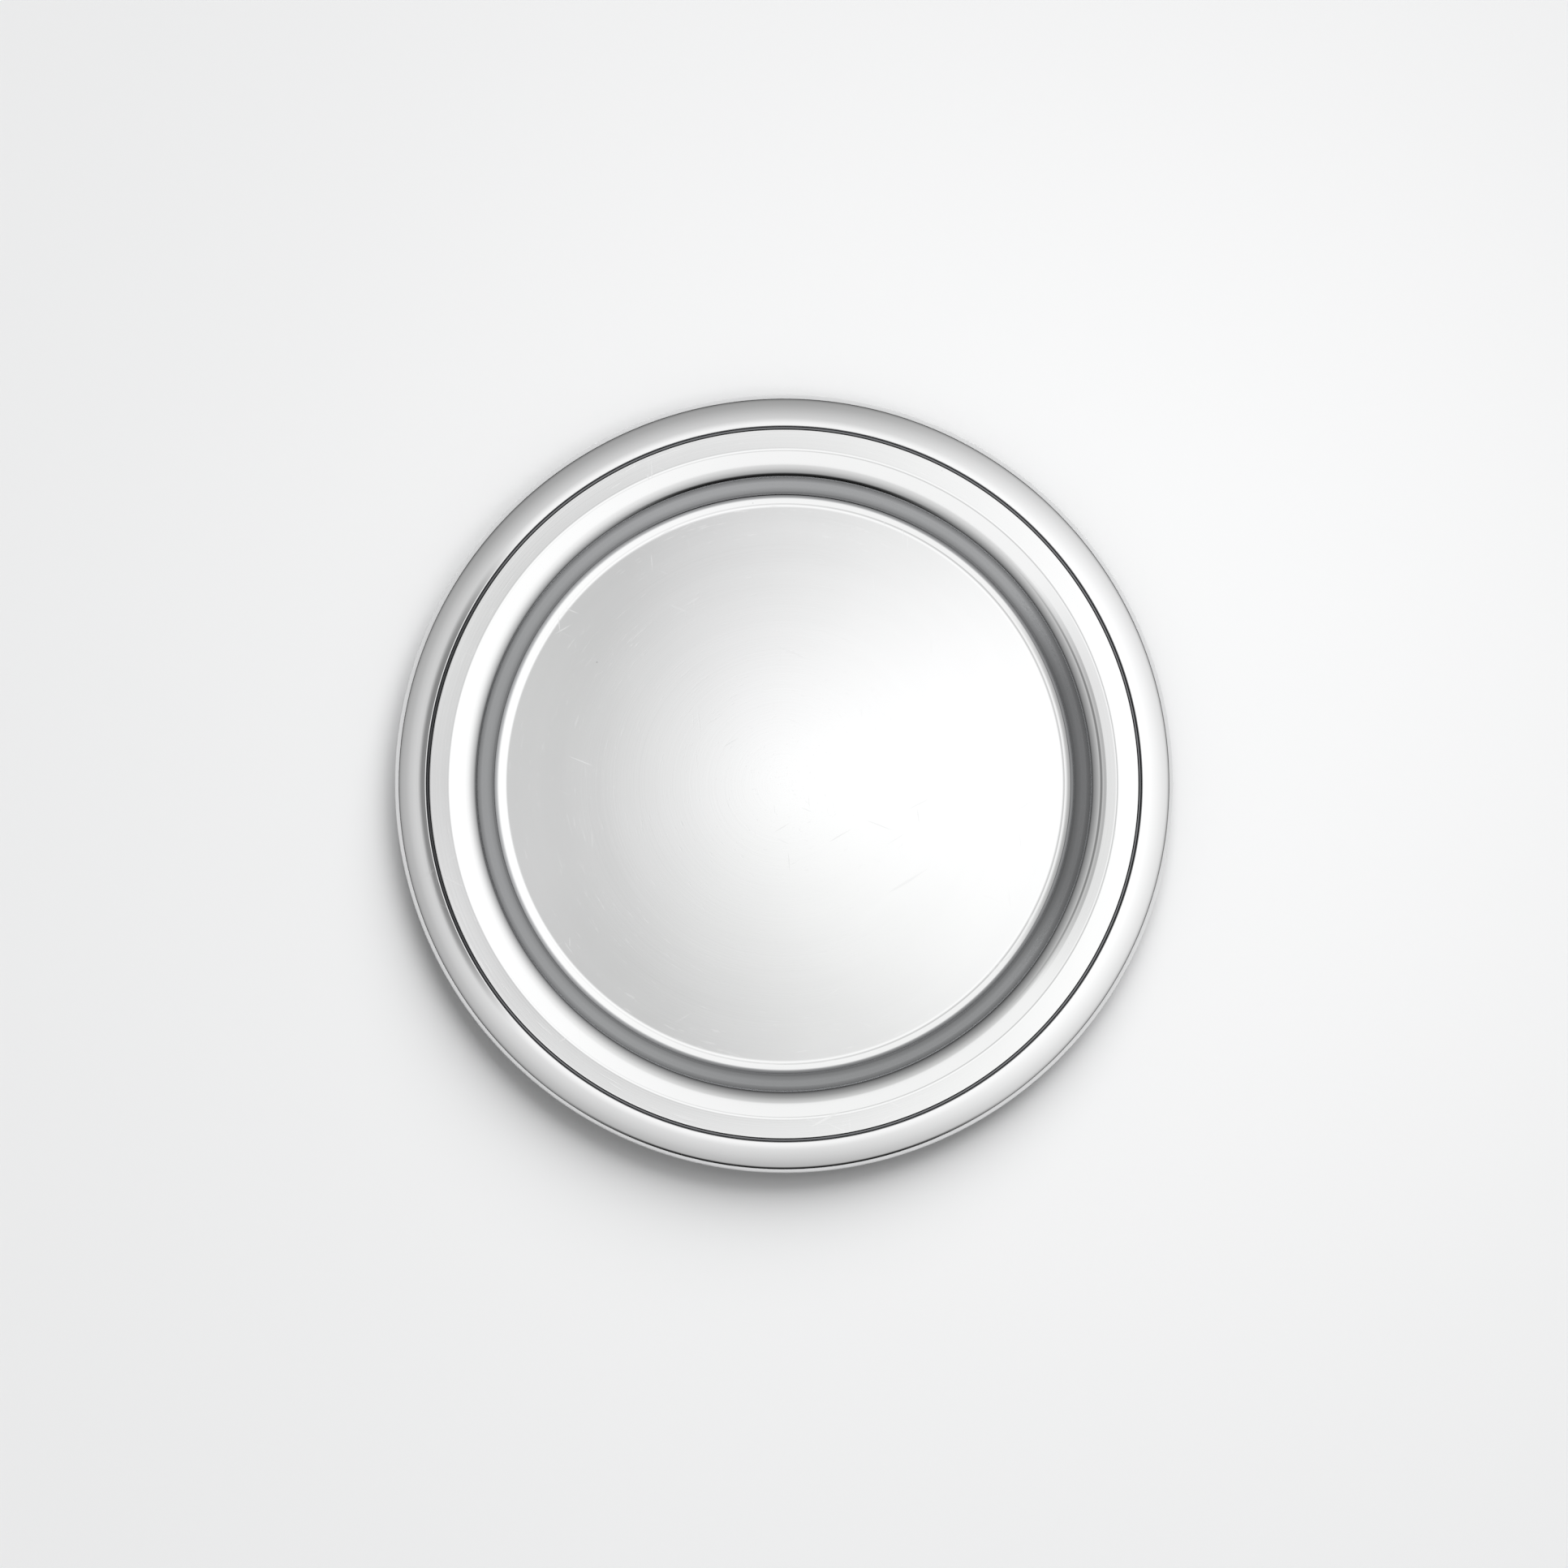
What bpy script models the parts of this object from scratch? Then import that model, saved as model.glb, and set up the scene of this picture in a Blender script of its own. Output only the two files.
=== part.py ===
"""Paten plate: a spun sheet-metal dish with a separate wired rim band.

Metres, +Z up. The dish stands on the flat underside of its floor at z = 0, and every
piece is turned about the Z axis.
"""
from math import acos, atan2, cos, hypot, pi, radians, sin, tan

import bpy
from mathutils import Vector

# Overall sizes
OUTER_RADIUS = 0.0750        # to the outside of the rolled edge
HEIGHT = 0.0095              # from the standing face to the top of the flange

# Sheet and wire
DISH_SHEET = 0.0008
BAND_SHEET = 0.0006
WIRE_RADIUS = 0.0007
CLEARANCE = 0.0003           # between pieces that touch

# Dish: widths run inwards from the rim, and bend radii are those of the upper face
BAND_WIDTH = 0.00635         # from the rim band's inner edge to the outside of the rim
GROOVE_WIDTH = 0.0007        # gap seen between the flange and the band's inner edge
FLANGE_WIDTH = 0.0030        # flat part
RAMP_LENGTH = 0.0020         # straight part of the gentle fall from the flange to the well
RAMP_SLOPE = radians(9)
WALL_SLOPE = radians(69)
UPTURN_LENGTH = 0.0001       # straight part of the gentle rise at the edge of the floor
UPTURN_SLOPE = radians(12)
RAMP_BEND = 0.0120           # flange into ramp
LIP_BEND = 0.0033            # ramp into wall
FOOT_BEND = 0.0015           # wall into upturn
FLOOR_BEND = 0.0080          # upturn into floor
STEP_RUN = 0.00015           # how far the step under the groove leans outwards
STEP_BEND = 0.0002

# Rim band: a tilt of 0 faces up, 90 faces outwards, 180 faces down
EDGE_ROLL_RADIUS = 0.0030    # tighter bend between the crown and the curl
CROWN_TILT = radians(5)      # at the band's inner edge
ROLL_TILT = radians(27)      # where the crown passes into the edge roll
CURL_TILT = radians(70)      # where the edge roll passes into the curl round the wire
CURL_END_TILT = radians(300)
BAND_EDGE_BEND = 0.0002

# Facets
TURN_STEPS = 64
WIRE_SIDES = 8
ARC_STEP = radians(24)       # stretch of an arc that one facet spans
FEWEST_FACETS = 3            # on an arc that is shorter than that
MERGE_DISTANCE = 0.00001

# Sizes that follow
CURL_RADIUS = WIRE_RADIUS + CLEARANCE + BAND_SHEET
BAND_INNER_RADIUS = OUTER_RADIUS - BAND_WIDTH
FLANGE_RADIUS = BAND_INNER_RADIUS - GROOVE_WIDTH
CROWN_RADIUS = (
    (BAND_WIDTH - CURL_RADIUS)
    - (EDGE_ROLL_RADIUS - CURL_RADIUS) * sin(CURL_TILT)
    + EDGE_ROLL_RADIUS * sin(ROLL_TILT)
) / (sin(ROLL_TILT) - sin(CROWN_TILT))

# Finishes: colour and roughness
DISH_FINISH = ((0.76, 0.77, 0.78), 0.10)
BAND_FINISH = ((0.78, 0.79, 0.80), 0.08)
WIRE_FINISH = ((0.60, 0.61, 0.62), 0.35)


def clear_scene():
    for scene_object in list(bpy.data.objects):
        bpy.data.objects.remove(scene_object, do_unlink=True)


def on_circle(center, radius, tilt):
    """Point of the (radius, height) half plane on a circle, at a tilt from straight up."""
    return Vector((center[0] + radius * sin(tilt), center[1] + radius * cos(tilt)))


def arc(center, radius, start, end):
    """Points along an arc, both ends included."""
    count = max(FEWEST_FACETS, round(abs(end - start) / ARC_STEP))
    return [on_circle(center, radius, start + (end - start) * i / count) for i in range(count + 1)]


def rounded(corners):
    """Open line through (radius, height, bend radius) corners, with an arc at each bend."""
    points = []
    for i, (x, z, bend) in enumerate(corners):
        corner = Vector((x, z))
        if bend <= 0 or i in (0, len(corners) - 1):
            points.append(corner)
            continue
        back = (Vector(corners[i - 1][:2]) - corner).normalized()
        ahead = (Vector(corners[i + 1][:2]) - corner).normalized()
        half_angle = back.angle(ahead) / 2
        center = corner + (back + ahead).normalized() * (bend / sin(half_angle))
        from_center = corner + back * (bend / tan(half_angle)) - center
        to_center = corner + ahead * (bend / tan(half_angle)) - center
        start = atan2(from_center.x, from_center.y)
        turn = atan2(to_center.x, to_center.y) - start
        turn = (turn + pi) % (2 * pi) - pi
        points += arc(center, bend, start, start + turn)
    return points


def left_of(direction):
    """Unit vector towards the upper face of a sheet whose profile runs this way."""
    return Vector((-direction.y, direction.x))


def underside(corners, thickness):
    """Corners of the lower face of a sheet, each bend keeping the sheet's thickness."""
    flat = [Vector(corner[:2]) for corner in corners]
    runs = [(b - a).normalized() for a, b in zip(flat, flat[1:])]
    lower = []
    for i, point in enumerate(flat):
        before = left_of(runs[max(i - 1, 0)])
        after = left_of(runs[min(i, len(runs) - 1)])
        miter = (before + after).normalized()
        moved = point - miter * (thickness / miter.dot(after))
        bends_up = before.x > after.x
        bend = corners[i][2]
        if bend > 0:
            bend = bend + thickness if bends_up else max(bend - thickness, 0)
        lower.append((moved.x, moved.y, bend))
    return lower


def band_centers():
    """Centres of the crown, the edge roll and the curl, which meet tangentially."""
    crown = Vector((BAND_INNER_RADIUS - CROWN_RADIUS * sin(CROWN_TILT),
                    HEIGHT - CROWN_RADIUS * cos(CROWN_TILT)))
    roll = on_circle(crown, CROWN_RADIUS - EDGE_ROLL_RADIUS, ROLL_TILT)
    curl = on_circle(roll, EDGE_ROLL_RADIUS - CURL_RADIUS, CURL_TILT)
    return crown, roll, curl


def ledge_corners():
    """Upper face of the dish's edge, which follows the band's crown from below."""
    crown, _, curl = band_centers()
    ledge_radius = CROWN_RADIUS - BAND_SHEET - CLEARANCE
    lower_radius = ledge_radius - DISH_SHEET
    start = (FLANGE_RADIUS + STEP_RUN - crown.x) / ledge_radius
    # The edge stops where its lower corner comes within the clearance of the curl
    reach = hypot(curl.x - crown.x, curl.y - crown.y)
    curl_tilt = atan2(curl.x - crown.x, curl.y - crown.y)
    room = CURL_RADIUS + CLEARANCE
    end = curl_tilt - acos((reach ** 2 + lower_radius ** 2 - room ** 2) / (2 * reach * lower_radius))
    return [(p.x, p.y, 0) for p in arc(crown, ledge_radius, start, end)]


def setback(bend, turn):
    """Length that a bend takes from each of the straight runs that it joins."""
    return bend * tan(turn / 2)


def dish_corners():
    """Upper face of the dish, from the axis to the edge under the rim band."""
    ramp_run = (setback(RAMP_BEND, RAMP_SLOPE) + RAMP_LENGTH
                + setback(LIP_BEND, WALL_SLOPE - RAMP_SLOPE))
    upturn_run = (setback(FLOOR_BEND, UPTURN_SLOPE) + UPTURN_LENGTH
                  + setback(FOOT_BEND, WALL_SLOPE - UPTURN_SLOPE))
    ramp_radius = FLANGE_RADIUS - FLANGE_WIDTH - setback(RAMP_BEND, RAMP_SLOPE)
    lip_radius = ramp_radius - ramp_run * cos(RAMP_SLOPE)
    lip_height = HEIGHT - ramp_run * sin(RAMP_SLOPE)
    foot_height = DISH_SHEET + upturn_run * sin(UPTURN_SLOPE)
    foot_radius = lip_radius - (lip_height - foot_height) / tan(WALL_SLOPE)
    floor_radius = foot_radius - upturn_run * cos(UPTURN_SLOPE)
    corners = [
        (0, DISH_SHEET, 0),
        (floor_radius, DISH_SHEET, FLOOR_BEND),
        (foot_radius, foot_height, FOOT_BEND),
        (lip_radius, lip_height, LIP_BEND),
        (ramp_radius, HEIGHT, RAMP_BEND),
        (FLANGE_RADIUS, HEIGHT, STEP_BEND),
    ]
    ledge = ledge_corners()
    ledge[0] = (ledge[0][0], ledge[0][1], STEP_BEND)
    return corners + ledge


def material(name, finish):
    color, roughness = finish
    metal = bpy.data.materials.new(name)
    metal.use_nodes = True
    shader = metal.node_tree.nodes["Principled BSDF"]
    shader.inputs["Base Color"].default_value = (*color, 1)
    shader.inputs["Metallic"].default_value = 1
    shader.inputs["Roughness"].default_value = roughness
    metal.diffuse_color = (*color, 1)
    return metal


def turned(name, profile, metal, collection, closed):
    """Body turned about Z from a profile that runs down its outer side."""
    mesh = bpy.data.meshes.new(name)
    count = len(profile)
    edges = [(i, i + 1) for i in range(count - 1)]
    if closed:
        edges.append((count - 1, 0))
    mesh.from_pydata([(p.x, 0, p.y) for p in profile], edges, [])
    body = bpy.data.objects.new(name, mesh)
    collection.objects.link(body)
    screw = body.modifiers.new("turn", "SCREW")
    screw.axis = "Z"
    screw.steps = screw.render_steps = TURN_STEPS
    screw.use_merge_vertices = True
    screw.merge_threshold = MERGE_DISTANCE
    screw.use_smooth_shade = True
    mesh.materials.append(metal)
    return body


def make_dish(collection):
    upper = dish_corners()
    lower = underside(upper, DISH_SHEET)
    profile = rounded(upper) + list(reversed(rounded(lower)))
    turned("dish", profile, material("dish_steel", DISH_FINISH), collection, closed=False)


def band_face(depth):
    """Corners of one face of the rim band, this far below its outer face, from groove to curl."""
    crown, roll, curl = band_centers()
    points = (arc(crown, CROWN_RADIUS - depth, CROWN_TILT, ROLL_TILT)
              + arc(roll, EDGE_ROLL_RADIUS - depth, ROLL_TILT, CURL_TILT)[1:]
              + arc(curl, CURL_RADIUS - depth, CURL_TILT, CURL_END_TILT)[1:])
    corners = [(p.x, p.y, 0) for p in points]
    corners[0] = (*corners[0][:2], BAND_EDGE_BEND)
    return corners


def make_rim_band(collection):
    outside, inside = band_face(0), band_face(BAND_SHEET)
    # The outline starts halfway up the band's inner edge, so that both its corners are bends
    start = [((outside[0][0] + inside[0][0]) / 2, (outside[0][1] + inside[0][1]) / 2, 0)]
    profile = rounded(start + outside + list(reversed(inside)) + start)[:-1]
    turned("rim_band", profile, material("band_steel", BAND_FINISH), collection, closed=True)


def make_rim_wire(collection):
    curl = band_centers()[2]
    bpy.ops.mesh.primitive_torus_add(
        major_radius=curl.x, minor_radius=WIRE_RADIUS,
        major_segments=TURN_STEPS, minor_segments=WIRE_SIDES, location=(0, 0, curl.y))
    wire = bpy.context.object
    wire.name = wire.data.name = "rim_wire"
    wire.data.shade_smooth()
    wire.data.materials.append(material("wire_steel", WIRE_FINISH))
    for holder in list(wire.users_collection):
        holder.objects.unlink(wire)
    collection.objects.link(wire)


def main():
    clear_scene()
    collection = bpy.data.collections.new("paten_plate")
    bpy.context.scene.collection.children.link(collection)
    make_dish(collection)
    make_rim_band(collection)
    make_rim_wire(collection)


main()
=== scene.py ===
from math import acos, atan2, cos, pi, radians, sin, tan

import bpy
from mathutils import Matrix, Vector


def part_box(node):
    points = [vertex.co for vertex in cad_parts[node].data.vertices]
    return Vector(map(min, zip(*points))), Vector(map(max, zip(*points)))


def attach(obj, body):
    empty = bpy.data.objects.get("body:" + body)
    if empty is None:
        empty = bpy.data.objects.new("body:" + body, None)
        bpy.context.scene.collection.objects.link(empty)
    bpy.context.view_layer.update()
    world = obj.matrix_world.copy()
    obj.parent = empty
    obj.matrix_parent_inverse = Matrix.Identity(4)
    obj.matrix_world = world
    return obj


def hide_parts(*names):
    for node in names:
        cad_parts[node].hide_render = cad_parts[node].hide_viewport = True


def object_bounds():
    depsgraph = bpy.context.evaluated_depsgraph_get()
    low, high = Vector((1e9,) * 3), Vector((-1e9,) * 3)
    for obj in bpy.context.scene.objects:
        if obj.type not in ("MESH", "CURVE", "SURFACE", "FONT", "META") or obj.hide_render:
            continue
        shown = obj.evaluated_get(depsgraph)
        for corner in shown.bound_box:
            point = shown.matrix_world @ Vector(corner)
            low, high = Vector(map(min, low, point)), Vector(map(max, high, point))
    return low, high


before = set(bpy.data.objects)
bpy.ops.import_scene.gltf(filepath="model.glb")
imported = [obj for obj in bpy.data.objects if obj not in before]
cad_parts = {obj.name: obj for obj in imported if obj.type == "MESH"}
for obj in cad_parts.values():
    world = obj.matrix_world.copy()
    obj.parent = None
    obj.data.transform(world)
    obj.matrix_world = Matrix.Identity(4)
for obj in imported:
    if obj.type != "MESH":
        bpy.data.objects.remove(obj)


def plainBox():
    return [[float(value) for value in corner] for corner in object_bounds()]


cadBox = plainBox()
lowCorner, highCorner = cadBox
outerRadius = highCorner[0]
plateHeight = highCorner[2] - lowCorner[2]
standsAt = lowCorner[2]
print("frame loaded")


class NodeBench:  # adds nodes to a tree and wires them up
    def __init__(self, tree):
        self.tree = tree
        tree.nodes.clear()

    def add(self, kind, inputs=None, **settings):
        made = self.tree.nodes.new(kind)
        for key, value in settings.items():
            setattr(made, key, value)
        for key, value in (inputs or {}).items():
            if isinstance(value, bpy.types.NodeSocket):
                self.tree.links.new(value, made.inputs[key])
            else:
                made.inputs[key].default_value = value
        return made

    def calc(self, operation, first, second=0.0):
        return self.add("ShaderNodeMath", {0: first, 1: second}, operation=operation).outputs[0]

    def vector(self, operation, first, second=(0, 0, 0)):
        return self.add("ShaderNodeVectorMath", {0: first, 1: second},
                        operation=operation).outputs[0]

    def length(self, vector):
        return self.add("ShaderNodeVectorMath", {0: vector}, operation="LENGTH").outputs["Value"]

    def axes(self, vector):
        return self.add("ShaderNodeSeparateXYZ", {"Vector": vector}).outputs

    def mix(self, factor, first, second, blend="MIX"):
        return self.add("ShaderNodeMix", {"Factor": factor, "A": first, "B": second},
                        data_type="RGBA", blend_type=blend).outputs[2]

    def between(self, value, low, high, start=0.0, end=1.0):  # eases from start to end
        return self.add("ShaderNodeMapRange", {
            "Value": value, "From Min": low, "From Max": high, "To Min": start, "To Max": end},
            interpolation_type="SMOOTHSTEP").outputs["Result"]

    def noise(self, vector, scale, detail=2.0, roughness=0.5):
        return self.add("ShaderNodeTexNoise", {
            "Vector": vector, "Scale": scale, "Detail": detail, "Roughness": roughness}
        ).outputs["Fac"]

    def total(self, *values):
        result = values[0]
        for value in values[1:]:
            result = self.calc("ADD", result, value)
        return result

    def product(self, *values):
        result = values[0]
        for value in values[1:]:
            result = self.calc("MULTIPLY", result, value)
        return result


turning = {
    "steps": 512,  # flats round a full turn
    "bendFacets": 10,  # flats in each bend of an outline
    "mergeDistance": 0.000002,
    "shortestFlat": 0.001,  # straight runs longer than this are kept flat up to their bends
    "flatLead": 0.00005,  # how far past the bend such a run starts
    "longArcBends": 4,  # bends that make up a curl or a full circle
}


def onCircle(center, radius, tilt):  # tilt 0 is straight up, 90 degrees is outwards
    return Vector((center[0] + radius * sin(tilt), center[1] + radius * cos(tilt)))


def arcCorners(center, radius, start, end, bends=1):  # corners whose bends join into one arc
    half = (end - start) / bends / 2
    reach = radius / cos(half)
    return [(*onCircle(center, reach, start + half * (2 * i + 1)), radius) for i in range(bends)]


def setback(bend, turn):  # length that a bend takes from the runs on either side
    return bend * tan(turn / 2)


def keepFlat(corners):  # adds points just past the bends at the ends of each long straight run
    points = [Vector(corner[:2]) for corner in corners]
    backs = [0.0] * len(corners)
    for i in range(1, len(points) - 1):
        turn = (points[i] - points[i - 1]).angle(points[i + 1] - points[i])
        backs[i] = setback(corners[i][2], turn)
    kept = []
    for i, corner in enumerate(corners[:-1]):
        kept.append(corner)
        run = points[i + 1] - points[i]
        if run.length - backs[i] - backs[i + 1] < turning["shortestFlat"]:
            continue
        lead = turning["flatLead"]
        for bend, along in ((corner[2], backs[i] + lead),
                            (corners[i + 1][2], run.length - backs[i + 1] - lead)):
            if bend > 0:
                kept.append((*(points[i] + run.normalized() * along), 0))
    return kept + [corners[-1]]


def lowerFace(corners, sheet):  # the other face of a sheet, running the same way
    points = [Vector(corner[:2]) for corner in corners]
    runs = [(b - a).normalized() for a, b in zip(points, points[1:])]
    ups = [Vector((-run.y, run.x)) for run in runs]
    lower = []
    for i, point in enumerate(points):
        before, after = ups[max(i - 1, 0)], ups[min(i, len(ups) - 1)]
        miter = (before + after).normalized()
        moved = point - miter * (sheet / miter.dot(after))
        bend = corners[i][2]
        bend = bend + sheet if before.x > after.x else max(bend - sheet, 0)
        lower.append((moved.x, moved.y, bend))
    return lower


def makeTurningTree():
    tree = bpy.data.node_groups.new("turnedPiece", "GeometryNodeTree")
    sockets = tree.interface
    sockets.new_socket("Outline", in_out="INPUT", socket_type="NodeSocketGeometry")
    for name, kind in (("Turn Steps", "Int"), ("Bend Facets", "Int"), ("Closed Outline", "Int"),
                       ("Merge Distance", "Float"), ("Finish", "Material")):
        sockets.new_socket(name, in_out="INPUT", socket_type="NodeSocket" + kind)
    sockets.new_socket("Piece", in_out="OUTPUT", socket_type="NodeSocketGeometry")
    bench = NodeBench(tree)
    add, calc = bench.add, bench.calc
    given = add("NodeGroupInput")

    line = add("GeometryNodeMeshToCurve", {"Mesh": given.outputs["Outline"]})
    bendSize = add("GeometryNodeInputNamedAttribute", {"Name": "bend"}, data_type="FLOAT")
    rounded = add("GeometryNodeFilletCurve", {
        "Curve": line.outputs["Curve"], "Radius": bendSize.outputs["Attribute"],
        "Count": given.outputs["Bend Facets"]}, mode="POLY")
    count = add("GeometryNodeAttributeDomainSize", {"Geometry": rounded.outputs["Curve"]},
                component="CURVE").outputs["Point Count"]

    # A grid is bent round the axis: a row for each point of the outline, and one more where a
    # closed outline comes back to its start
    rows = calc("ADD", count, given.outputs["Closed Outline"])
    columns = calc("ADD", given.outputs["Turn Steps"], 1)
    grid = add("GeometryNodeMeshGrid", {"Vertices X": rows, "Vertices Y": columns})
    index = add("GeometryNodeInputIndex").outputs["Index"]
    row = calc("MODULO", calc("FLOOR", calc("DIVIDE", calc("ADD", index, 0.5), columns)), count)
    step = calc("FLOOR", calc("MODULO", calc("ADD", index, 0.5), columns))
    point = add("GeometryNodeSampleIndex", {
        "Geometry": rounded.outputs["Curve"],
        "Value": add("GeometryNodeInputPosition").outputs["Position"],
        "Index": row}, data_type="FLOAT_VECTOR", domain="POINT").outputs["Value"]
    turn = calc("DIVIDE", calc("MULTIPLY", step, 2 * pi), given.outputs["Turn Steps"])
    place = add("ShaderNodeVectorRotate", {"Vector": point, "Angle": turn}, rotation_type="Z_AXIS")
    shaped = add("GeometryNodeSetPosition", {
        "Geometry": grid.outputs["Mesh"], "Position": place.outputs["Vector"]})
    merged = add("GeometryNodeMergeByDistance", {
        "Geometry": shaped.outputs["Geometry"], "Distance": given.outputs["Merge Distance"]})
    smooth = add("GeometryNodeSetShadeSmooth", {"Geometry": merged.outputs["Geometry"]})
    real = add("GeometryNodeRealizeInstances", {"Geometry": smooth.outputs["Geometry"]})
    finished = add("GeometryNodeSetMaterial", {
        "Geometry": real.outputs["Geometry"], "Material": given.outputs["Finish"]})
    add("NodeGroupOutput", {"Piece": finished.outputs["Geometry"]})
    return tree


turningTree = makeTurningTree()


def turnPiece(name, corners, finish, closed, replaced):
    outline = bpy.data.meshes.new(name + "Outline")
    edges = [(i, i + 1) for i in range(len(corners) - 1)]
    if closed:
        edges.append((len(corners) - 1, 0))
    outline.from_pydata([(x, 0, z) for x, z, bend in corners], edges, [])
    bends = outline.attributes.new("bend", "FLOAT", "POINT")
    bends.data.foreach_set("value", [corner[2] for corner in corners])
    holder = bpy.data.objects.new(name + "Outline", outline)
    bpy.context.scene.collection.objects.link(holder)

    modifier = holder.modifiers.new("turn", "NODES")
    modifier.node_group = turningTree
    values = {"Turn Steps": turning["steps"], "Bend Facets": turning["bendFacets"],
              "Closed Outline": int(closed), "Merge Distance": turning["mergeDistance"],
              "Finish": finish}
    for item in turningTree.interface.items_tree:
        if item.in_out == "INPUT" and item.name in values:
            modifier[item.identifier] = values[item.name]

    bpy.context.view_layer.update()
    made = holder.evaluated_get(bpy.context.evaluated_depsgraph_get())
    mesh = bpy.data.meshes.new_from_object(made)
    mesh.name = name
    holder.modifiers.remove(modifier)
    bpy.data.objects.remove(holder)
    piece = bpy.data.objects.new(name, mesh)
    bpy.context.scene.collection.objects.link(piece)
    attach(piece, "root")
    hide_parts(replaced)
    print("turned", name, len(mesh.polygons), "faces")


polish = {  # marks left by spinning and polishing, the same on every steel
    "fineAround": 0.6,  # how often each pattern changes on the way round
    "wideAround": 0.8,
    "buffAround": 9.0,  # short buffing lines
    "fineToWide": 14,  # fine rings to one wide ring
    "buffCloseness": 0.7,  # buffing lines to one fine ring
    "buffFrom": 0.62,
    "buffTo": 0.74,
    "buffRelief": 0.6,
    "buffRoughness": 0.05,
    "cloudScale": 38.0,
    "smearScale": 11.0,
    "smearFrom": 0.35,
    "smearTo": 0.65,
    "scratchLanes": ((0.4, 1300), (1.5, 1700), (2.6, 1100)),  # direction, and lines per metre
    "scratchLength": 18,  # times its width
    "scratchHeight": 60,  # how often a scratch breaks off from top to bottom
    "scratchEase": 0.05,
    "scratchPatches": 60.0,  # scratches show only in patches
    "patchFrom": 0.5,
    "patchTo": 0.62,
    "scratchRoughness": 0.10,
    "speckScale": 330.0,
    "speckRarity": 0.985,  # share of the cells that have no speck
    "speckCore": 0.03,
    "speckEdge": 0.08,
    "speckTone": -0.2,
    "baseTone": 0.93,
    "undersideEase": 0.3,
    "leastRoughness": 0.03,
    "refraction": 2.5,
}


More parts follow.
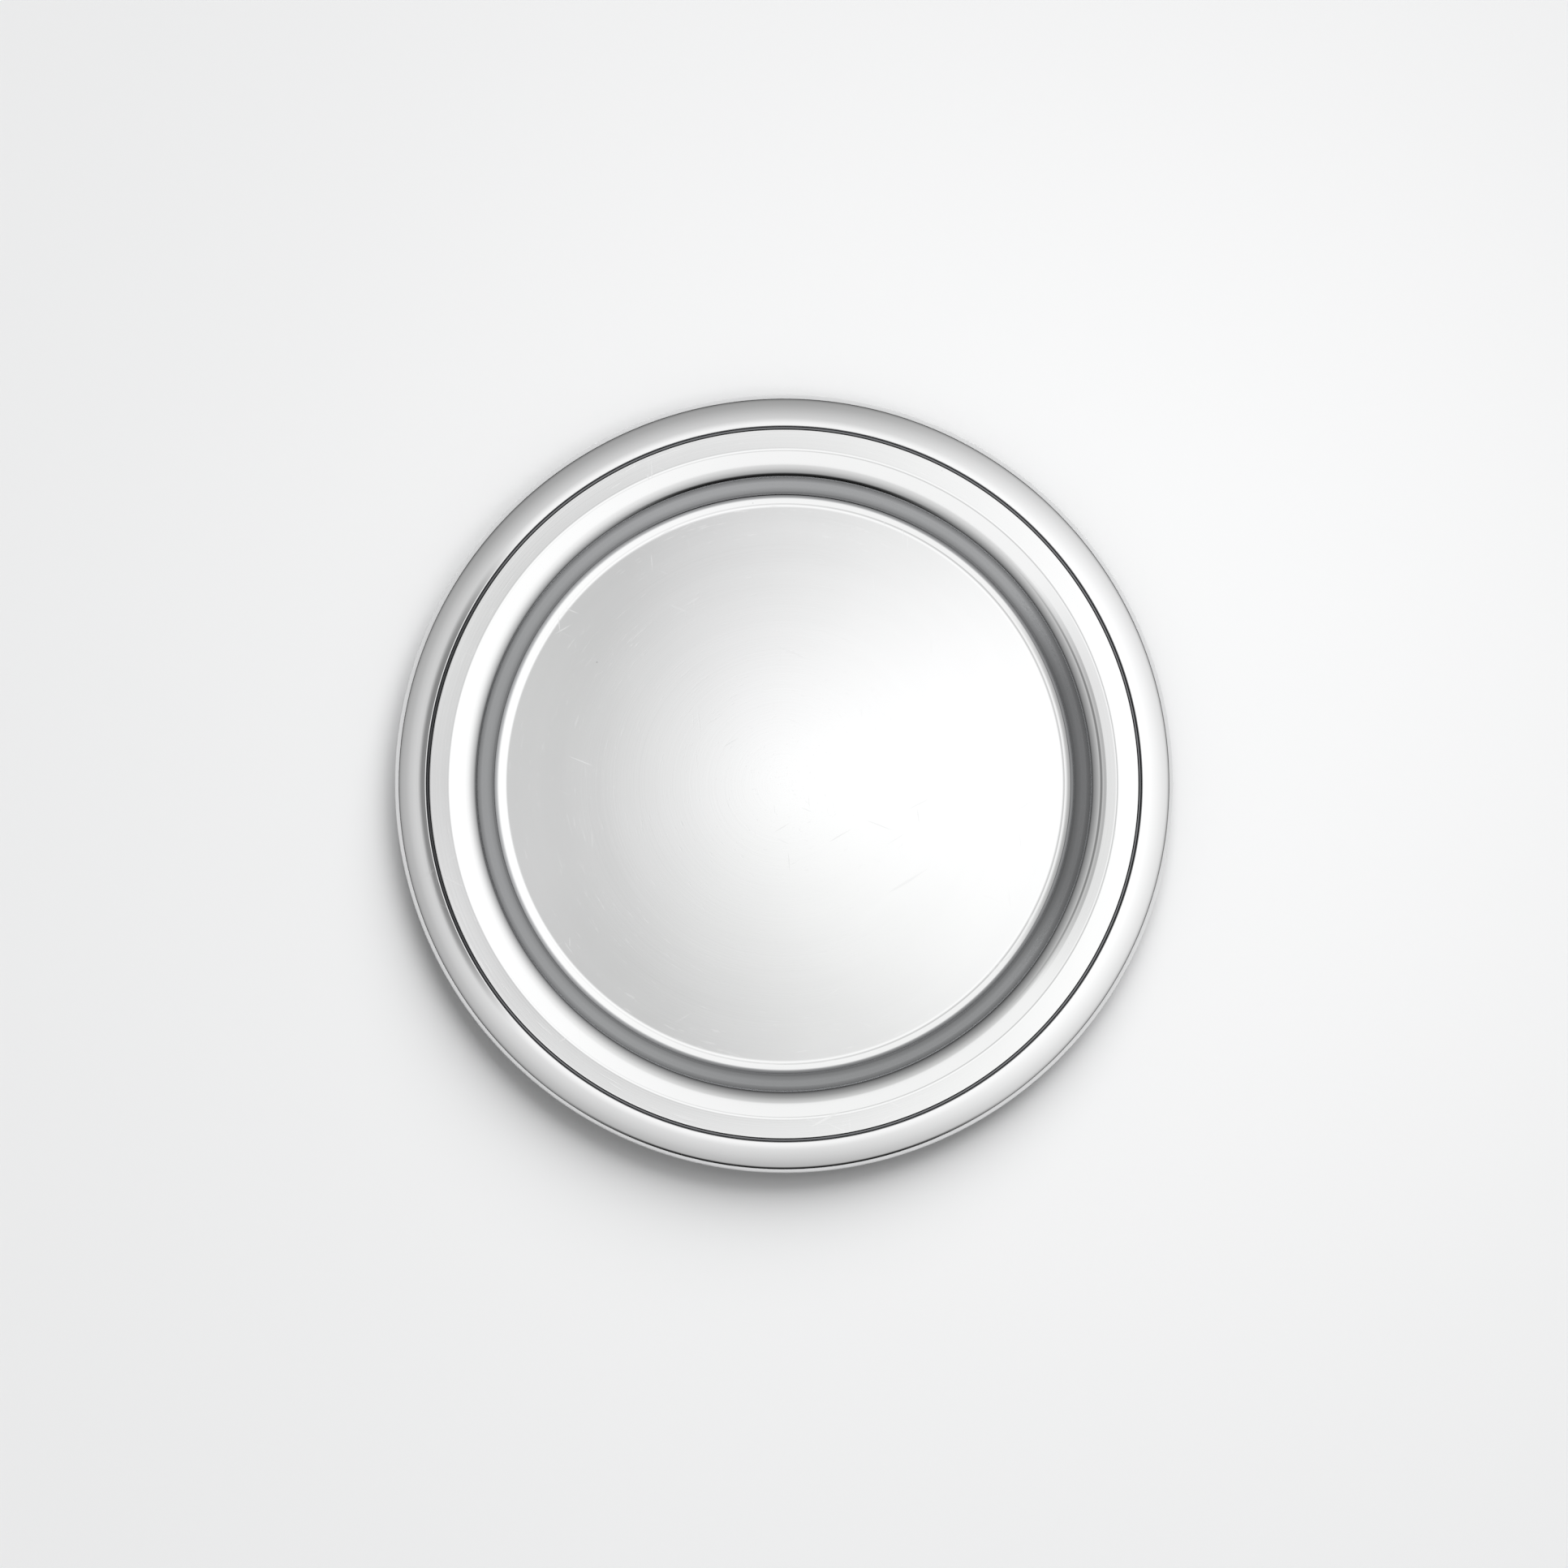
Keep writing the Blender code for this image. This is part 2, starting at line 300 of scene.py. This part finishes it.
def steelFinish(name, look, dullAndShadeAreas=(), paintedShadeAreas=()):
    material = bpy.data.materials.new(name)
    material.use_nodes = True
    bench = NodeBench(material.node_tree)
    calc, between, noise = bench.calc, bench.between, bench.noise
    product, mix = bench.product, bench.mix
    place = bench.add("ShaderNodeTexCoord").outputs
    where = place["Object"]
    rings = look["ringsPerMetre"]
    flat = bench.vector("MULTIPLY", where, (1, 1, 0))
    radius = bench.length(flat)
    heading = bench.axes(bench.vector("NORMALIZE", flat))
    outline = calc("ADD", radius, bench.axes(where)["Z"])

    def ringSpace(around, across):  # long round the axis and narrow across it, with no seam
        return bench.add("ShaderNodeCombineXYZ", {
            "X": calc("MULTIPLY", heading["X"], around),
            "Y": calc("MULTIPLY", heading["Y"], around),
            "Z": calc("MULTIPLY", outline, across)}).outputs["Vector"]

    def ring(inner, innerEase, outer, outerEase, amount):  # eases are half widths of soft edges
        inside = between(radius, inner - innerEase, inner + innerEase)
        outside = between(radius, outer - outerEase, outer + outerEase, 1.0, 0.0)
        return product(inside, outside, amount)

    def centered(pattern, amount):
        return product(calc("SUBTRACT", pattern, 0.5), amount)

    fineRings = noise(ringSpace(polish["fineAround"], rings), 1.0, 3.0, 0.6)
    wideRings = noise(ringSpace(polish["wideAround"], rings / polish["fineToWide"]), 1.0)
    buffing = ringSpace(polish["buffAround"], rings * polish["buffCloseness"])
    buffing = between(noise(buffing, 1.0, 2.0, 0.7), polish["buffFrom"], polish["buffTo"])
    clouds = noise(where, polish["cloudScale"], 4.0, 0.55)
    smears = noise(where, polish["smearScale"])

    scratches = None
    for turn, closeness in polish["scratchLanes"]:
        lane = bench.add("ShaderNodeVectorRotate", {"Vector": where, "Angle": turn},
                         rotation_type="Z_AXIS").outputs["Vector"]
        lane = bench.vector("MULTIPLY", lane, (
            closeness / polish["scratchLength"], closeness, polish["scratchHeight"]))
        hair = between(noise(lane, 1.0, 1.0), look["scratchFrom"],
                       look["scratchFrom"] + polish["scratchEase"])
        scratches = hair if scratches is None else calc("MAXIMUM", scratches, hair)
    patches = noise(where, polish["scratchPatches"])
    scratches = product(scratches, between(patches, polish["patchFrom"], polish["patchTo"]))

    cells = bench.add("ShaderNodeTexVoronoi", {"Vector": where, "Scale": polish["speckScale"]})
    chance = bench.add("ShaderNodeSeparateColor", {"Color": cells.outputs["Color"]}).outputs[0]
    specks = product(
        between(cells.outputs["Distance"], polish["speckCore"], polish["speckEdge"], 1.0, 0.0),
        calc("GREATER_THAN", chance, polish["speckRarity"]))

    # rougher steel with painted shade: a darker colour on faces that look downwards and in the
    # rings given
    dullAndShade = between(bench.axes(place["Normal"])["Z"], look["dullAndShadeFrom"],
                   look["dullAndShadeFrom"] - polish["undersideEase"], 0.0, look["undersideDullAndShade"])
    for area in dullAndShadeAreas:
        dullAndShade = calc("MAXIMUM", dullAndShade, ring(*area))

    tone = bench.total(
        polish["baseTone"],
        centered(clouds, look["toneClouds"]),
        centered(wideRings, look["toneRings"]),
        product(specks, polish["speckTone"]))
    color = mix(between(smears, polish["smearFrom"], polish["smearTo"]),
                look["color"], look["otherColor"])
    # painted shade: a darker colour where that mask is set
    color = mix(dullAndShade, color, look["paintedShadeColor"])
    # painted shade in the rings given, such as the groove under the band
    for area in paintedShadeAreas:
        color = mix(ring(*area), color, look["paintedGrooveShadeColor"])
    shade = bench.add("ShaderNodeCombineColor", {0: tone, 1: tone, 2: tone}).outputs["Color"]
    color = mix(1.0, color, shade, "MULTIPLY")

    roughness = bench.total(
        look["roughness"],
        centered(wideRings, look["roughRings"]),
        centered(clouds, look["roughClouds"]),
        product(scratches, polish["scratchRoughness"]),
        product(buffing, polish["buffRoughness"]),
        product(dullAndShade, look["dullRoughness"]))
    relief = bench.total(
        product(fineRings, look["ringDepth"]),
        product(buffing, -look["ringDepth"] * polish["buffRelief"]),
        product(scratches, -look["scratchDepth"]))
    bump = bench.add("ShaderNodeBump", {"Height": relief, "Strength": 1.0, "Distance": 1.0})
    lathe = bench.vector("NORMALIZE", bench.vector("CROSS_PRODUCT", (0, 0, 1), where))
    steel = bench.add("ShaderNodeBsdfPrincipled", {
        "Base Color": color, "Metallic": 1.0,
        "Roughness": calc("MAXIMUM", roughness, polish["leastRoughness"]),
        "Anisotropic": look["anisotropy"], "IOR": polish["refraction"],
        "Normal": bump.outputs["Normal"], "Tangent": lathe})
    bench.add("ShaderNodeOutputMaterial", {"Surface": steel.outputs["BSDF"]})
    return material


rimWire = {
    "color": (0.58, 0.59, 0.60, 1),
    "otherColor": (0.52, 0.53, 0.54, 1),  # in its smears
    # the darker colour below is painted shade on the underside of the wire
    "paintedShadeColor": (0.38, 0.39, 0.40, 1),
    "dullAndShadeFrom": -0.2,  # a face turns rougher and gets painted shade where the height of its normal falls below this
    "undersideDullAndShade": 0.3,  # how rough and how darkened by painted shade it gets
    "roughness": 0.32,
    "dullRoughness": 0.15,
    "anisotropy": 0.2,
    "ringsPerMetre": 6000,
    "ringDepth": 0.000004,
    "scratchDepth": 0.000001,
    "scratchFrom": 0.70,  # the higher, the fewer scratches
    "toneClouds": 0.10,
    "toneRings": 0.10,
    "roughRings": 0.12,
    "roughClouds": 0.10,
}

wireLow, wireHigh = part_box("rim_wire")
wireRadius = (wireHigh.z - wireLow.z) / 2
wireCenter = Vector((wireHigh.x - wireRadius, (wireHigh.z + wireLow.z) / 2))


def makeRimWire():
    corners = arcCorners(wireCenter, wireRadius, 0, 2 * pi, turning["longArcBends"])
    turnPiece("rimWireFine", corners, steelFinish("drawnWireSteel", rimWire), True,
              "rim_wire")


rimBand = {
    "sheet": 0.0006,
    "roomForWire": 0.0003,
    "width": 0.00635,  # inner edge to the outside of the rim
    "crownTilt": radians(5),  # at the inner edge
    "rollTilt": radians(27),  # crown into edge roll
    "curlTilt": radians(70),  # edge roll into the curl round the wire
    "curlEndTilt": radians(300),
    "edgeRollRadius": 0.0030,
    "edgeBend": 0.00016,
    "edgeLead": 0.00020,  # straight sheet beside each cut edge
    "color": (0.795, 0.796, 0.800, 1),
    "otherColor": (0.775, 0.777, 0.778, 1),
    # painted shade: the darker colour below goes on the downward faces of the curl, which are also
    # rougher
    "paintedShadeColor": (0.34, 0.345, 0.35, 1),
    "dullAndShadeFrom": 0.34,
    "undersideDullAndShade": 0.75,
    "roughness": 0.040,
    "dullRoughness": 0.10,
    "anisotropy": 0.20,
    "ringsPerMetre": 3600,
    "ringDepth": 0.0000012,
    "scratchDepth": 0.0000008,
    "scratchFrom": 0.70,
    "toneClouds": 0.04,
    "toneRings": 0.05,
    "roughRings": 0.035,
    "roughClouds": 0.02,
}

curlRadius = wireRadius + rimBand["roomForWire"] + rimBand["sheet"]
bandInnerRadius = outerRadius - rimBand["width"]
curlCenter = Vector((outerRadius - curlRadius, wireCenter.y))
rollCenter = onCircle(curlCenter, curlRadius - rimBand["edgeRollRadius"], rimBand["curlTilt"])
crownSpan = sin(rimBand["rollTilt"]) - sin(rimBand["crownTilt"])
rollStart = onCircle(rollCenter, rimBand["edgeRollRadius"], rimBand["rollTilt"])
crownRadius = (rollStart.x - bandInnerRadius) / crownSpan
crownCenter = onCircle(rollStart, -crownRadius, rimBand["rollTilt"])


def bandFace(depth):  # one face of the band, this far below its outer face
    lead = rimBand["edgeLead"]
    crown, curl = crownRadius - depth, curlRadius - depth
    leadTilt = rimBand["crownTilt"] + lead / crown
    endTilt = rimBand["curlEndTilt"] - lead / curl
    first = onCircle(crownCenter, crown, leadTilt)
    first -= Vector((cos(leadTilt), -sin(leadTilt))) * lead
    last = onCircle(curlCenter, curl, endTilt) + Vector((cos(endTilt), -sin(endTilt))) * lead
    return [
        (*first, rimBand["edgeBend"]),
        *arcCorners(crownCenter, crown, leadTilt, rimBand["rollTilt"]),
        *arcCorners(rollCenter, rimBand["edgeRollRadius"] - depth,
                    rimBand["rollTilt"], rimBand["curlTilt"]),
        *arcCorners(curlCenter, curl, rimBand["curlTilt"], endTilt, turning["longArcBends"]),
        (*last, rimBand["edgeBend"]),
    ]


def makeRimBand():
    corners = bandFace(0) + list(reversed(bandFace(rimBand["sheet"])))
    finish = steelFinish("polishedBandSteel", rimBand)
    turnPiece("rimBandFine", corners, finish, True, "rim_band")


dish = {
    "sheet": 0.0008,
    "roomUnderBand": 0.0003,
    "grooveWidth": 0.0007,  # seen between the flange and the band
    "flangeWidth": 0.00347,  # flat part
    "rampLength": 0.00171,  # gentle fall from the flange to the well
    "rampSlope": radians(9),
    "wallSlope": radians(69),
    "upturnLength": 0.0001,  # gentle rise at the edge of the floor
    "upturnSlope": radians(12),
    "rampBend": 0.0060,
    "lipBend": 0.0046,
    "footBend": 0.0015,
    "floorBend": 0.0080,
    "stepRun": 0.00015,
    "stepBend": 0.00018,
    "edgeBend": 0.00020,
    "edgeLead": 0.00025,
    "wallRingInside": 0.0007,  # the wall's ring of roughness and painted shade runs this far inside its foot
    "wallRingInsideEase": 0.00025,
    "wallRingOutside": 0.0005,  # and this far past its lip
    "wallRingOutsideEase": 0.0011,
    "wallDullAndShade": 0.85,
    "grooveShadeEase": 0.0001,  # soft start of the painted shade in the groove under the band
    "color": (0.783, 0.784, 0.787, 1),
    "otherColor": (0.760, 0.764, 0.762, 1),
    # painted shade: the first darker colour goes on the underside and the wall ring, the second in
    # the groove under the band
    "paintedShadeColor": (0.37, 0.375, 0.385, 1),
    "paintedGrooveShadeColor": (0.15, 0.152, 0.158, 1),
    "dullAndShadeFrom": -0.3,
    "undersideDullAndShade": 0.55,
    "roughness": 0.060,
    "dullRoughness": 0.03,
    "anisotropy": 0.20,
    "ringsPerMetre": 2600,
    "ringDepth": 0.0000010,
    "scratchDepth": 0.0000007,
    "scratchFrom": 0.705,
    "toneClouds": 0.05,
    "toneRings": 0.04,
    "roughRings": 0.05,
    "roughClouds": 0.05,
}

flangeRadius = bandInnerRadius - dish["grooveWidth"]


def ledgeCorners():  # the edge under the band, which follows the band's crown
    ledge = crownRadius - rimBand["sheet"] - dish["roomUnderBand"]
    lower = ledge - dish["sheet"]
    start = (flangeRadius + dish["stepRun"] - crownCenter.x) / ledge
    away = curlCenter - crownCenter
    room = curlRadius + dish["roomUnderBand"]
    end = atan2(away.x, away.y) - acos(
        (away.length_squared + lower ** 2 - room ** 2) / (2 * away.length * lower))
    lead = dish["edgeLead"]
    firstTilt, lastTilt = start + lead / ledge, end - lead / ledge
    first = onCircle(crownCenter, ledge, firstTilt)
    first -= Vector((cos(firstTilt), -sin(firstTilt))) * lead
    last = onCircle(crownCenter, ledge, lastTilt) + Vector((cos(lastTilt), -sin(lastTilt))) * lead
    return [(*first, dish["stepBend"]),
            *arcCorners(crownCenter, ledge, firstTilt, lastTilt),
            (*last, dish["edgeBend"])]


def dishFace():  # upper face, from the axis to the edge
    rampRun = (setback(dish["rampBend"], dish["rampSlope"]) + dish["rampLength"]
               + setback(dish["lipBend"], dish["wallSlope"] - dish["rampSlope"]))
    upturnRun = (setback(dish["floorBend"], dish["upturnSlope"]) + dish["upturnLength"]
                 + setback(dish["footBend"], dish["wallSlope"] - dish["upturnSlope"]))
    top = standsAt + plateHeight
    floorHeight = standsAt + dish["sheet"]
    rampRadius = flangeRadius - dish["flangeWidth"] - setback(dish["rampBend"], dish["rampSlope"])
    lipRadius = rampRadius - rampRun * cos(dish["rampSlope"])
    lipHeight = top - rampRun * sin(dish["rampSlope"])
    footHeight = floorHeight + upturnRun * sin(dish["upturnSlope"])
    footRadius = lipRadius - (lipHeight - footHeight) / tan(dish["wallSlope"])
    floorRadius = footRadius - upturnRun * cos(dish["upturnSlope"])
    return [
        (0, floorHeight, 0),
        (floorRadius, floorHeight, dish["floorBend"]),
        (footRadius, footHeight, dish["footBend"]),
        (lipRadius, lipHeight, dish["lipBend"]),
        (rampRadius, top, dish["rampBend"]),
        (flangeRadius, top, dish["stepBend"]),
    ] + ledgeCorners()


def makeDish():
    upper = dishFace()
    lower = lowerFace(upper, dish["sheet"])
    lower[-1] = (*lower[-1][:2], dish["edgeBend"])
    footRadius, lipRadius = upper[2][0], upper[3][0]
    ease = dish["grooveShadeEase"]
    wallArea = (footRadius - dish["wallRingInside"], dish["wallRingInsideEase"],
                lipRadius + dish["wallRingOutside"], dish["wallRingOutsideEase"],
                dish["wallDullAndShade"])  # the wall is rougher, and its colour is darkened as painted shade
    grooveShadeArea = (flangeRadius, ease, outerRadius, ease, 1.0)  # painted shade in the groove under the band
    finish = steelFinish("spunDishSteel", dish, [wallArea], [grooveShadeArea])
    corners = keepFlat(upper + list(reversed(lower)))
    turnPiece("dishFine", corners, finish, False, "dish")


studio = {
    "tableSize": 16.0,
    "tableColor": (0.90, 0.903, 0.906, 1),
    "tableRoughness": 0.9,
    "tableShine": 0.1,
    "tableGap": 0.00002,  # below the plate, so that the two faces don't flicker
    "keyHeading": radians(72),  # anticlockwise from +X
    "keyHeight": radians(37),
    "keySpread": radians(48),
    "keyStrength": 2.8,
    "poolPlace": (0.06, 0.035, 0.22),  # a soft lamp that brightens the table near the plate
    "poolSize": 0.12,
    "poolPower": 0.10,
    "fill": 0.34,  # even light from all round, for what isn't steel
    "backdrop": (0.93, 0.935, 0.94, 1),
    "steelShare": 0.72,  # light that polished steel gives back
    "rightFade": (0.0, 1.1),  # how far towards each side its own light starts and is full
    "leftFade": (-0.75, -0.97),
    "frontFade": (0.25, -0.45),
    "overheadDip": 3.0,  # how fast the ceiling darkens leftwards
    "overheadLimit": 0.39,
    "overheadFade": (0.085, 0.135),  # how far from straight up that ends
    "nearDip": 0.92,  # a low dark stretch at the front
    "nearFade": (-0.8, -0.97),
    "nearHeights": (0.28, 0.16),  # share of the way up
    "wellGain": 1.45,  # light that reaches the well's wall by way of its floor
    "wellGainRight": 0.85,
    "wellGainLeft": 0.75,
    "cardPlace": (-0.165, 0.0, 0.30),  # a soft grey card that only the steel sees
    "cardWidth": 0.075,  # from its middle, as is its length
    "cardLength": 0.16,
    "cardLevel": 132,
    "cardCore": 0.35,  # share of the card that is fully grey
}


def makeTable():
    bpy.ops.mesh.primitive_plane_add(
        size=studio["tableSize"], location=(0, 0, standsAt - studio["tableGap"]))
    table = bpy.context.object
    table.name = "table"
    material = bpy.data.materials.new("paleTable")
    material.use_nodes = True
    surface = material.node_tree.nodes["Principled BSDF"]
    surface.inputs["Base Color"].default_value = studio["tableColor"]
    surface.inputs["Roughness"].default_value = studio["tableRoughness"]
    surface.inputs["Specular IOR Level"].default_value = studio["tableShine"]
    table.data.materials.append(material)


def makeKeyLight():
    light = bpy.data.lights.new("keyLight", "SUN")
    light.energy = studio["keyStrength"]
    light.angle = studio["keySpread"]
    holder = bpy.data.objects.new("keyLight", light)
    holder.rotation_euler = (0, pi / 2 - studio["keyHeight"], studio["keyHeading"])
    holder.visible_glossy = False
    bpy.context.scene.collection.objects.link(holder)


def makePoolLight():
    light = bpy.data.lights.new("poolLight", "AREA")
    light.energy = studio["poolPower"]
    light.size = studio["poolSize"]
    holder = bpy.data.objects.new("poolLight", light)
    holder.location = studio["poolPlace"]
    holder.visible_glossy = False
    holder.visible_camera = False
    bpy.context.scene.collection.objects.link(holder)


# brightness of the room by angle above the horizon, 255 being white on polished steel
rightRoom = [(0, 70), (5, 120), (10, 178), (18, 208), (30, 226), (45, 243), (60, 256), (90, 259)]
leftRoom = [(0, 60), (6, 110), (12, 155), (25, 168), (38, 182), (45, 196), (54, 206), (59, 204),
            (65, 186), (71, 178), (75, 190), (79, 238), (83, 252), (90, 259)]
frontRoom = [(0, 55), (6, 100), (12, 145), (20, 165), (35, 188), (45, 203), (60, 220), (68, 244),
             (83, 246), (90, 259)]
backRoom = [(0, 55), (6, 95), (12, 135), (20, 150), (35, 166), (45, 184), (60, 208), (68, 242),
            (83, 246), (90, 259)]


def glowFor(level):  # light that polished steel shows at this brightness
    share = level / 255
    light = ((share + 0.055) / 1.055) ** 2.4
    return (*[light / studio["steelShare"]] * 3, 1)


def makeWorld():
    world = bpy.data.worlds.new("studioWorld")
    bpy.context.scene.world = world
    world.use_nodes = True
    bench = NodeBench(world.node_tree)
    calc, between, product, mix = bench.calc, bench.between, bench.product, bench.mix
    toward = bench.add("ShaderNodeTexCoord").outputs["Generated"]
    axes = bench.axes(toward)
    lean = bench.length(bench.vector("MULTIPLY", toward, (1, 1, 0)))  # 0 is straight up
    spread = calc("MAXIMUM", lean, 0.0001)
    rightward = calc("DIVIDE", axes["X"], spread)
    backward = calc("DIVIDE", axes["Y"], spread)
    height = calc("DIVIDE", calc("ARCSINE", axes["Z"]), pi / 2)

    def ramp(stops):
        made = bench.add("ShaderNodeValToRGB", {"Fac": height})
        line = made.color_ramp
        while len(line.elements) < len(stops):
            line.elements.new(0.5)
        for element, (angle, level) in zip(line.elements, stops):
            element.position = angle / 90
            element.color = glowFor(level)
        return made.outputs["Color"]

    right = between(rightward, *studio["rightFade"])
    left = between(rightward, *studio["leftFade"])
    front = between(backward, *studio["frontFade"])
    room = mix(front, ramp(backRoom), ramp(frontRoom))
    room = mix(left, mix(right, room, ramp(rightRoom)), ramp(leftRoom))

    path = bench.add("ShaderNodeLightPath").outputs
    insideWell = calc("GREATER_THAN", path["Glossy Depth"], 1.5)  # steel seen in the steel
    overhead = product(calc("SUBTRACT", lean, axes["X"]), studio["overheadDip"],
                       between(lean, *studio["overheadFade"], 1.0, 0.0))
    overhead = calc("MINIMUM", overhead, studio["overheadLimit"])
    near = product(between(backward, *studio["nearFade"]), between(height, *studio["nearHeights"]),
                   calc("SUBTRACT", 1.0, insideWell), studio["nearDip"])
    dimming = calc("SUBTRACT", 1.0, calc("ADD", overhead, near))
    brightening = bench.total(studio["wellGain"] - 1.0,
                              product(right, studio["wellGainRight"] - studio["wellGain"]),
                              product(left, studio["wellGainLeft"] - studio["wellGain"]))
    strength = product(dimming, calc("ADD", 1.0, product(insideWell, brightening)))

    room = bench.add("ShaderNodeVectorMath", {0: room, "Scale": strength}, operation="SCALE")
    fill = (*[studio["fill"]] * 3, 1)
    color = mix(path["Is Glossy Ray"], fill, room.outputs["Vector"])
    color = mix(path["Is Camera Ray"], color, studio["backdrop"])
    glow = bench.add("ShaderNodeBackground", {"Color": color, "Strength": 1.0})
    bench.add("ShaderNodeOutputWorld", {"Surface": glow.outputs["Background"]})


def makeGreyCard():
    center = Vector(studio["cardPlace"])
    halves = Vector((studio["cardWidth"], studio["cardLength"], 1))
    mesh = bpy.data.meshes.new("greyCard")
    corners = [center + Vector((x * halves.x, y * halves.y, 0))
               for x, y in ((-1, -1), (-1, 1), (1, 1), (1, -1))]
    mesh.from_pydata(corners, [], [(0, 1, 2, 3)])
    card = bpy.data.objects.new("greyCard", mesh)
    bpy.context.scene.collection.objects.link(card)
    card.visible_camera = card.visible_diffuse = card.visible_shadow = False

    material = bpy.data.materials.new("softGrey")
    material.use_nodes = True
    bench = NodeBench(material.node_tree)
    place = bench.add("ShaderNodeTexCoord").outputs["Object"]
    place = bench.vector("DIVIDE", bench.vector("SUBTRACT", place, tuple(center)), tuple(halves))
    grey = bench.add("ShaderNodeEmission", {"Color": glowFor(studio["cardLevel"])})
    clear = bench.add("ShaderNodeBsdfTransparent")
    soft = bench.add("ShaderNodeMixShader", {
        0: bench.between(bench.length(place), studio["cardCore"], 1.0),
        1: grey.outputs[0], 2: clear.outputs[0]})
    bench.add("ShaderNodeOutputMaterial", {"Surface": soft.outputs[0]})
    mesh.materials.append(material)


view = {
    "height": 0.60,  # above the table
    "lens": 70.75,  # millimetres, as is the sensor
    "sensor": 36.0,
    "nearest": 0.01,
    "farthest": 50,
}


def makeCamera():
    camera = bpy.data.cameras.new("overheadCamera")
    camera.lens = view["lens"]
    camera.sensor_width = view["sensor"]
    camera.clip_start = view["nearest"]
    camera.clip_end = view["farthest"]
    holder = bpy.data.objects.new("overheadCamera", camera)
    holder.location = (0, 0, standsAt + view["height"])
    bpy.context.scene.collection.objects.link(holder)
    bpy.context.scene.camera = holder


makeDish()
makeRimBand()
makeRimWire()
makeTable()
makeKeyLight()
makePoolLight()
print("table and lights ready")
makeWorld()
makeGreyCard()
print("room ready")
makeCamera()
bpy.context.scene.view_settings.view_transform = "Standard"
print("camera ready")
